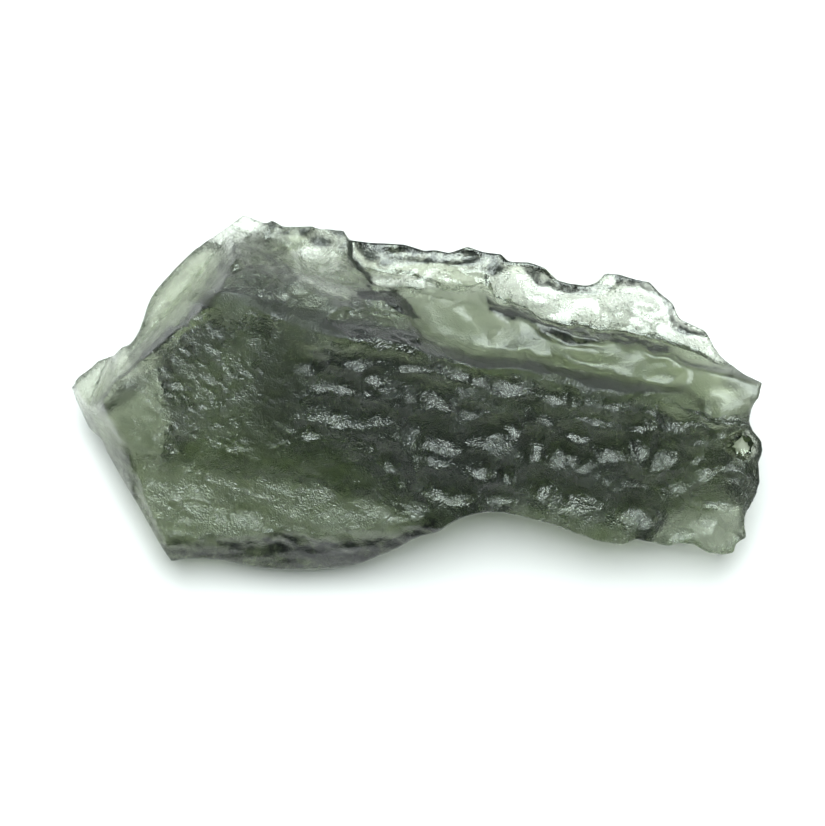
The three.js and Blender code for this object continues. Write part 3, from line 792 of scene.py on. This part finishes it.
def gap_to_segments(points, starts, ends):
    """Each point's distance in plan to the nearest of the segments."""
    nearest = np.full(len(points), np.inf)
    for start, end in zip(starts, ends):
        along = end - start
        t = np.clip(((points - start) @ along) / max(along @ along, 1e-12), 0.0, 1.0)
        gap = points - (start + t[:, None] * along)
        nearest = np.minimum(nearest, np.hypot(gap[:, 0], gap[:, 1]))
    return nearest


def plan_outline():
    """The edges of the CAD stone that its outline in plan follows, as starts and ends in millimetres."""
    sides = bmesh.new()
    sides.from_mesh(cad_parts[STONE].data)
    bmesh.ops.remove_doubles(sides, verts=sides.verts, dist=WELD * MM)
    sides.normal_update()
    starts, ends = [], []
    for edge in sides.edges:
        upright = [abs(face.normal.z) < UPRIGHT for face in edge.link_faces]
        if len(upright) == 2 and upright[0] != upright[1]:
            starts.append([c / MM for c in edge.verts[0].co.xy])
            ends.append([c / MM for c in edge.verts[1].co.xy])
    sides.free()
    return np.array(starts), np.array(ends)


def store(mesh, name, values):
    layer = mesh.attributes.new(name, "FLOAT", "POINT")
    layer.data.foreach_set("value", np.asarray(values, dtype=np.float32))


def mark_regions(mesh):
    """Stores what every point of the skin is like: its part, frost, dullness, painted shade and room for
    pits.
    """
    points = corners_of(mesh)
    plan = points[:, :2]
    upper = smooth_step(*MARKED_FACING, facing_of(mesh)[:, 2])
    frost = np.full(len(points), FROST_ELSEWHERE)
    ragged = plan + REGION_RAGGED * (shaken(plan) - plan)
    shares = {name: inside(outline, ragged, REGION_SOFTNESS) * upper for name, outline in REGIONS.items()}
    shares["underside"] = 1.0 - upper
    for name, share in shares.items():
        store(mesh, name, share)
        frost += share * (FROST[name] - frost)
    bubble = np.hypot(*(plan - BUBBLE_AT).T) < BUBBLE_RADIUS
    frost[bubble] = BUBBLE_FROST
    store(mesh, "frost", frost)
    uneven = shaken(plan)
    store(mesh, "dull", np.maximum(crest_wear(plan), MATT_SHARE * inside(PALE_BAND, uneven)))
    # Painted shade: the dark patches and broad shades, stored for the material to darken the skin's colour.
    painted_shade = np.zeros(len(points))
    for outline, dark in PAINTED_SHADE_PATCHES.values():
        painted_shade = np.maximum(painted_shade, dark * inside(outline, uneven, PAINTED_PATCH_SOFTNESS) * upper)
    for outline, dark in PAINTED_BROAD_SHADES.values():
        painted_shade = np.maximum(painted_shade, dark * inside(outline, uneven, PAINTED_BROAD_SOFTNESS))
    painted_shade[bubble] = 0.0
    store(mesh, "painted_shade", painted_shade)
    store(mesh, "room", np.clip(thickness_of(mesh) * ROOM_SHARE, 0.0, ROOM_MOST))
    store(mesh, "inland", smooth_step(*INLAND, gap_to_segments(plan, *plan_outline())))


# ---------------------------------------------------------------- node trees

OUTPUT_KINDS = {"Geometry": "NodeSocketGeometry", "Height": "NodeSocketFloat", "Offset": "NodeSocketVector"}


def add(tree, kind, values=None, **settings):
    """A node with its settings, and its inputs set by name or linked from another node's output."""
    node = tree.nodes.new(kind)
    for key, value in settings.items():
        setattr(node, key, value)
    for key, value in (values or {}).items():
        if isinstance(value, bpy.types.NodeSocket):
            tree.links.new(value, node.inputs[key])
        else:
            node.inputs[key].default_value = value
    return node


def maths(tree, operation, *values, kind="ShaderNodeMath"):
    return add(tree, kind, dict(enumerate(values)), operation=operation).outputs[0]


def vectors(tree, operation, *values):
    return maths(tree, operation, *values, kind="ShaderNodeVectorMath")


def joined(tree, x, y, z):
    return add(tree, "ShaderNodeCombineXYZ", {"X": x, "Y": y, "Z": z}).outputs[0]


def moved(tree, shape, offset):
    return add(tree, "GeometryNodeSetPosition", {"Geometry": shape, "Offset": offset}).outputs[0]


def times(tree, vector, scale):
    return add(tree, "ShaderNodeVectorMath", {0: vector, "Scale": scale}, operation="SCALE").outputs[0]


def field(tree, name):
    """A number that the mesh stores for every point, in a Geometry Nodes tree."""
    return add(tree, "GeometryNodeInputNamedAttribute", {"Name": name}, data_type="FLOAT").outputs[0]


def stored(tree, name):
    """A number that the mesh stores for every point, in a material."""
    return add(tree, "ShaderNodeAttribute", attribute_name=name).outputs["Fac"]


def noise(tree, place, scale, detail):
    return add(tree, "ShaderNodeTexNoise", {"Vector": place, "Scale": scale, "Detail": detail}).outputs[0]


def ranged(tree, value, given, wanted):
    """The value moved from the range that is given to the one that is wanted, and kept inside it."""
    ends = {"From Min": given[0], "From Max": given[1], "To Min": wanted[0], "To Max": wanted[1]}
    return add(tree, "ShaderNodeMapRange", {"Value": value, **ends}).outputs[0]


def new_tree(name, inputs, output, shape=False):
    """A Geometry Nodes tree with one output, and its inputs, which have names and defaults."""
    tree = bpy.data.node_groups.new(name, "GeometryNodeTree")
    if shape:
        tree.interface.new_socket("Geometry", in_out="INPUT", socket_type="NodeSocketGeometry")
    for label, default in inputs.items():
        kind = "NodeSocketInt" if isinstance(default, int) else "NodeSocketFloat"
        tree.interface.new_socket(label, in_out="INPUT", socket_type=kind).default_value = default
    tree.interface.new_socket(output, in_out="OUTPUT", socket_type=OUTPUT_KINDS[output])
    return tree, tree.nodes.new("NodeGroupInput").outputs


def finish_tree(tree, result):
    tree.links.new(result, tree.nodes.new("NodeGroupOutput").inputs[0])
    return tree


def pits_group():
    """Bowls that meet in sharp crests, as acid leaves them: heights of 0 on the crests, else below."""
    sizes = {
        "Length": 1.0, "Width": 1.0, "Heading": 0.0, "Depth": 0.1, "Wander": 0.3, "Seed": 0.0, "Cover": 1.0,
    }
    tree, given = new_tree("etched_pits", sizes, "Height")
    place = tree.nodes.new("GeometryNodeInputPosition").outputs[0]
    turned = add(
        tree, "ShaderNodeVectorRotate",
        {"Vector": place, "Angle": maths(tree, "MULTIPLY", given["Heading"], -1.0)},
        rotation_type="Z_AXIS",
    ).outputs[0]
    scaled = vectors(tree, "DIVIDE", turned, joined(tree, given["Length"], given["Width"], given["Width"]))
    placed = vectors(tree, "ADD", scaled, joined(tree, given["Seed"], given["Seed"], given["Seed"]))
    clouds = add(tree, "ShaderNodeTexNoise", {"Vector": placed, "Scale": PIT_BEND_SCALE, "Detail": 1.0})
    centred = vectors(tree, "SUBTRACT", clouds.outputs["Color"], NOISE_MIDDLE)
    bent = vectors(tree, "ADD", placed, times(tree, centred, given["Wander"]))
    cells = add(tree, "ShaderNodeTexVoronoi", {"Vector": bent, "Scale": 1.0, "Randomness": 1.0})
    reach = maths(tree, "MINIMUM", maths(tree, "DIVIDE", cells.outputs["Distance"], PIT_RIM), 1.0)
    rim = maths(tree, "MULTIPLY", reach, reach)
    bowl = maths(tree, "SUBTRACT", rim, 1.0)
    height = maths(tree, "MULTIPLY", maths(tree, "MULTIPLY", bowl, given["Depth"]), given["Cover"])
    return finish_tree(tree, height)


NOISE_MIDDLE = (0.5, 0.5, 0.5)
NOISE_SWING = 4.0  # brings the noise's usual swing to about 1
PIT_BEND_SCALE = 1.3  # how fast the pits' crests bend
PIT_RIM = 0.75  # of a pit's size, how far from its middle its crest lies at most
WANDER_SEED_STEP = 3.1
PIT_SEED_STEP = 7.3
# The pits on each part of the skin: region, name, length, width, heading in degrees, depth, wander.
PITS = [
    ("furrowed", "Ripple", 0.7, 0.35, -14.0, 0.02, 0.7),
    ("furrowed", "Furrow grain", 0.26, 0.2, 0.0, 0.008, 0.5),
    ("granular", "Dimple", 0.7, 0.4, -30.0, 0.13, 0.8),
    ("granular", "Grain", 0.3, 0.2, -20.0, 0.045, 0.6),
    ("corner", "Corner mottle", 0.5, 0.3, -50.0, 0.02, 0.6),
    ("mottled", "Mottle", 0.4, 0.3, -20.0, 0.025, 0.6),
    ("north_slope", "North grain", 0.5, 0.3, -15.0, 0.05, 0.6),
    ("grainy_slope", "Slope streak", 1.8, 0.6, -18.0, 0.12, 0.8),
    ("grainy_slope", "Slope grain", 0.3, 0.2, 0.0, 0.03, 0.6),
    ("bevel", "Bevel streak", 2.0, 0.5, 5.0, 0.03, 0.6),
    ("shelf", "Shelf wave", 1.9, 0.7, -15.0, 0.025, 0.7),
    ("shelf", "Shelf ripple", 0.7, 0.35, -15.0, 0.01, 0.7),
    ("lobe", "Lobe hollow", 1.2, 0.6, -60.0, 0.08, 0.7),
    ("lobe", "Lobe chip", 0.4, 0.3, 0.0, 0.045, 0.6),
    ("edge_strip", "Strip streak", 2.0, 0.3, 52.0, 0.05, 0.4),
    ("underside", "Under hollow", 1.8, 1.1, -10.0, 0.04, 0.7),
    ("underside", "Under dimple", 0.6, 0.45, 0.0, 0.012, 0.6),
]


def wander_group():
    """Bends what is straight: a field of offsets that fades out towards the stone's outline."""
    tree, given = new_tree("wander", {"Size": 2.0, "Reach": 0.3, "Seed": 0.0}, "Offset")
    place = tree.nodes.new("GeometryNodeInputPosition").outputs[0]
    scale = maths(tree, "DIVIDE", 1.0, given["Size"])
    clouds = add(
        tree, "ShaderNodeTexNoise",
        {"Vector": place, "Scale": scale, "Detail": 1.0, "W": given["Seed"]},
        noise_dimensions="4D",
    )
    centred = vectors(tree, "SUBTRACT", clouds.outputs["Color"], NOISE_MIDDLE)
    faded = maths(tree, "MULTIPLY", given["Reach"], field(tree, "inland"))
    return finish_tree(tree, times(tree, centred, maths(tree, "MULTIPLY", faded, NOISE_SWING)))


# How the straight crests of the breaks wander: name, size and reach, in mm.
WANDERS = [
    ("Long wander", 3.0, 0.16),
    ("Short wander", 0.8, 0.06),
]


def relief_tree(material):
    """Bends the crests, then carves every row of PITS into the skin, never deeper than the room there."""
    sizes = {}
    for _, name, length, width, _, depth, _ in PITS:
        sizes.update({name + " length": length, name + " width": width, name + " depth": depth})
    for name, size, reach in WANDERS:
        sizes.update({name + " size": size, name + " reach": reach})
    tree, given = new_tree("etched_skin", sizes, "Geometry", shape=True)
    bent = given["Geometry"]
    wander = wander_group()
    for seed, (name, _, _) in enumerate(WANDERS):
        layer = tree.nodes.new("GeometryNodeGroup")
        layer.node_tree = wander
        for size in ("size", "reach"):
            tree.links.new(given[name + " " + size], layer.inputs[size.capitalize()])
        layer.inputs["Seed"].default_value = WANDER_SEED_STEP * (seed + 1)
        bent = moved(tree, bent, layer.outputs[0])
    pits = pits_group()
    total = None
    for seed, (region, name, _, _, heading, _, bend) in enumerate(PITS):
        layer = tree.nodes.new("GeometryNodeGroup")
        layer.node_tree = pits
        for size in ("length", "width", "depth"):
            tree.links.new(given[name + " " + size], layer.inputs[size.capitalize()])
        tree.links.new(field(tree, region), layer.inputs["Cover"])
        layer.inputs["Heading"].default_value = math.radians(heading)
        layer.inputs["Wander"].default_value = bend
        layer.inputs["Seed"].default_value = PIT_SEED_STEP * (seed + 1)
        height = layer.outputs[0]
        total = height if total is None else maths(tree, "ADD", total, height)
    kept = maths(tree, "MAXIMUM", total, maths(tree, "MULTIPLY", field(tree, "room"), -1.0))
    facing = tree.nodes.new("GeometryNodeInputNormal").outputs[0]
    carved = moved(tree, bent, times(tree, facing, kept))
    real = add(tree, "GeometryNodeRealizeInstances", {"Geometry": carved})
    painted = add(tree, "GeometryNodeSetMaterial", {"Geometry": real.outputs[0], "Material": material})
    return finish_tree(tree, painted.outputs[0])


# ---------------------------------------------------------------- materials

# The grain of the frost is two noises, each with how many to the mm, its detail and its share.
GRAINS = [(6.0, 2.0, 0.3), (13.0, 1.0, 0.7)]
GRAIN_DEPTH = 0.000115  # m
# Noise that makes the frost and the painted shade patchy: how many to the mm, detail, and the range that is
# wanted.
FROST_NOISE = (1.1, 3.0, (0.75, 1.2))
PAINTED_SHADE_NOISE = (2.0, 3.0, (0.45, 1.1))
NOISE_RANGE = (0.38, 0.6)
POLISH = (0.04, 0.34)  # roughness without frost and with all of it
DULL_ROUGHNESS = 0.25  # what dullness adds
PAINTED_SHADE_ON_COAT = 0.75  # how much of the skin's gloss the darkest painted shade takes
# The skin's colour where no shade is painted, and where the painted shade is darkest.
CLEAN = (0.95, 0.96, 0.94, 1.0)
PAINTED_DARK_TINT = (0.004, 0.005, 0.0045, 1.0)
GLASS_COLOUR = (0.43, 0.5, 0.25, 1.0)  # with the density, what a millimetre of glass lets through
GLASS_DENSITY = 1000.0
GLASS_IOR = 1.49
SKIN_IOR = 1.5
SKIN_ROUGHNESS = 0.155


def remains(tree, value):
    return maths(tree, "SUBTRACT", 1.0, value)


def tinted(tree, share, clean, painted_tint):
    """A colour that goes from clean to the painted dark tint with the share."""
    mix = add(tree, "ShaderNodeMix", {"Factor": share}, data_type="RGBA")
    for socket in mix.inputs:
        if socket.type == "RGBA":
            socket.default_value = clean if socket.name == "A" else painted_tint
    return [socket for socket in mix.outputs if socket.type == "RGBA"][0]


def glass_material():
    material = bpy.data.materials.new("moldavite_glass")
    material.use_nodes = True
    tree = material.node_tree
    tree.nodes.clear()
    place = tree.nodes.new("ShaderNodeTexCoord").outputs["Object"]
    in_mm = add(tree, "ShaderNodeMapping", {"Vector": place, "Scale": (1 / MM, 1 / MM, 1 / MM)}).outputs[0]

    scale, detail, wanted = FROST_NOISE
    patches = ranged(tree, noise(tree, in_mm, scale, detail), NOISE_RANGE, wanted)
    patchy = maths(tree, "MULTIPLY", stored(tree, "frost"), patches)
    polish = ranged(tree, patchy, (0.0, 1.0), POLISH)
    dull = stored(tree, "dull")
    rough = maths(tree, "ADD", polish, maths(tree, "MULTIPLY", dull, DULL_ROUGHNESS))

    # Painted shade: the stored dark patches darken the skin's colour and thin its coat.
    scale, detail, wanted = PAINTED_SHADE_NOISE
    uneven = ranged(tree, noise(tree, in_mm, scale, detail), NOISE_RANGE, wanted)
    painted_shade = {0: stored(tree, "painted_shade"), 1: uneven}
    painted_dark = add(tree, "ShaderNodeMath", painted_shade, operation="MULTIPLY", use_clamp=True).outputs[0]
    clear = remains(tree, painted_dark)
    colour = tinted(tree, remains(tree, maths(tree, "MULTIPLY", clear, clear)), CLEAN, PAINTED_DARK_TINT)
    bare = remains(tree, maths(tree, "MULTIPLY", painted_dark, PAINTED_SHADE_ON_COAT))
    coat = maths(tree, "MULTIPLY", maths(tree, "MULTIPLY", patchy, remains(tree, dull)), bare)

    coarse, fine = (
        maths(tree, "MULTIPLY", noise(tree, in_mm, scale, detail), share) for scale, detail, share in GRAINS
    )
    grain = maths(tree, "MULTIPLY", maths(tree, "ADD", coarse, fine), patchy)
    relief = {"Height": grain, "Distance": GRAIN_DEPTH, "Strength": 1.0}
    bump = add(tree, "ShaderNodeBump", relief).outputs[0]
    surface = add(
        tree, "ShaderNodeBsdfPrincipled",
        {
            "Base Color": colour,
            "Roughness": rough,
            "IOR": GLASS_IOR,
            "Transmission Weight": 1.0,
            "Coat Weight": coat,
            "Coat Roughness": SKIN_ROUGHNESS,
            "Coat IOR": SKIN_IOR,
            "Normal": bump,
            "Coat Normal": bump,
        },
    )
    inner = add(tree, "ShaderNodeVolumeAbsorption", {"Color": GLASS_COLOUR, "Density": GLASS_DENSITY})
    out = tree.nodes.new("ShaderNodeOutputMaterial")
    tree.links.new(surface.outputs[0], out.inputs["Surface"])
    tree.links.new(inner.outputs[0], out.inputs["Volume"])
    return material


def floor_material():
    material = bpy.data.materials.new("pale_floor")
    material.use_nodes = True
    surface = material.node_tree.nodes["Principled BSDF"]
    surface.inputs["Base Color"].default_value = FLOOR_COLOUR
    surface.inputs["Roughness"].default_value = FLOOR_ROUGHNESS
    surface.inputs["Specular IOR Level"].default_value = FLOOR_GLOSS
    return material


# ---------------------------------------------------------------- the stone

def make_stone():
    mesh = soften_crests(even_mesh())
    cut_skin(mesh)
    thin_underside(mesh)
    mesh = remeshed(mesh, "stone_furrowed")
    mark_regions(mesh)
    draft = new_object("stone_relief", mesh)
    skin = draft.modifiers.new("skin", "NODES")
    skin.node_group = relief_tree(glass_material())
    fewer = draft.modifiers.new("fewer", "DECIMATE")
    fewer.ratio = min(1.0, MOST_TRIANGLES / triangles_in(mesh))
    finished = applied(draft, "moldavite_stone")
    points = corners_of(finished)
    points[:, 2] = np.maximum(points[:, 2], 0.0)
    place_corners(finished, points)
    finished.transform(Matrix.Scale(MM, 4))
    finished.polygons.foreach_set("use_smooth", [True] * len(finished.polygons))
    return new_object("moldavite_stone", finished)


def make_floor():
    mesh = bpy.data.meshes.new("floor")
    corners = [(x * FLOOR_HALF, y * FLOOR_HALF, 0.0) for x, y in ((-1, -1), (1, -1), (1, 1), (-1, 1))]
    mesh.from_pydata(corners, [], [(0, 1, 2, 3)])
    mesh.materials.append(floor_material())
    return new_object("floor", mesh)


# ---------------------------------------------------------------- light and camera

def make_world():
    world = bpy.data.worlds.new("studio")
    world.use_nodes = True
    background = world.node_tree.nodes["Background"]
    background.inputs["Color"].default_value = ROOM_COLOUR
    background.inputs["Strength"].default_value = ROOM_STRENGTH
    bpy.context.scene.world = world


def make_softbox(name, azimuth, elevation, distance, width, height, power, colour):
    """A rectangle of light that faces the stone; azimuth is anticlockwise from +X."""
    light = bpy.data.lights.new(name, "AREA")
    light.shape = "RECTANGLE"
    light.size = width
    light.size_y = height
    light.energy = power
    light.color = colour
    box = new_object(name, light)
    a = math.radians(azimuth)
    e = math.radians(elevation)
    way = Vector((math.cos(a) * math.cos(e), math.sin(a) * math.cos(e), math.sin(e)))
    box.location = way * distance
    box.rotation_mode = "QUATERNION"
    box.rotation_quaternion = way.to_track_quat("Z", "Y")


def make_camera():
    camera = bpy.data.cameras.new("camera")
    camera.sensor_width = SENSOR
    camera.lens = SENSOR * CAMERA_HEIGHT / VIEW_WIDTH
    camera.clip_start, camera.clip_end = CLIP
    made = new_object("camera", camera)
    made.location = (VIEW_CENTRE[0] * MM, VIEW_CENTRE[1] * MM, CAMERA_HEIGHT * MM)
    bpy.context.scene.camera = made


make_camera()
make_world()
for softbox in SOFTBOXES:
    make_softbox(*softbox)
bpy.context.scene.view_settings.view_transform = "Standard"
bpy.context.scene.cycles.max_bounces = BOUNCES
bpy.context.scene.cycles.transmission_bounces = BOUNCES

floor = make_floor()
stone = make_stone()
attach(stone, "root")
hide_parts(STONE)
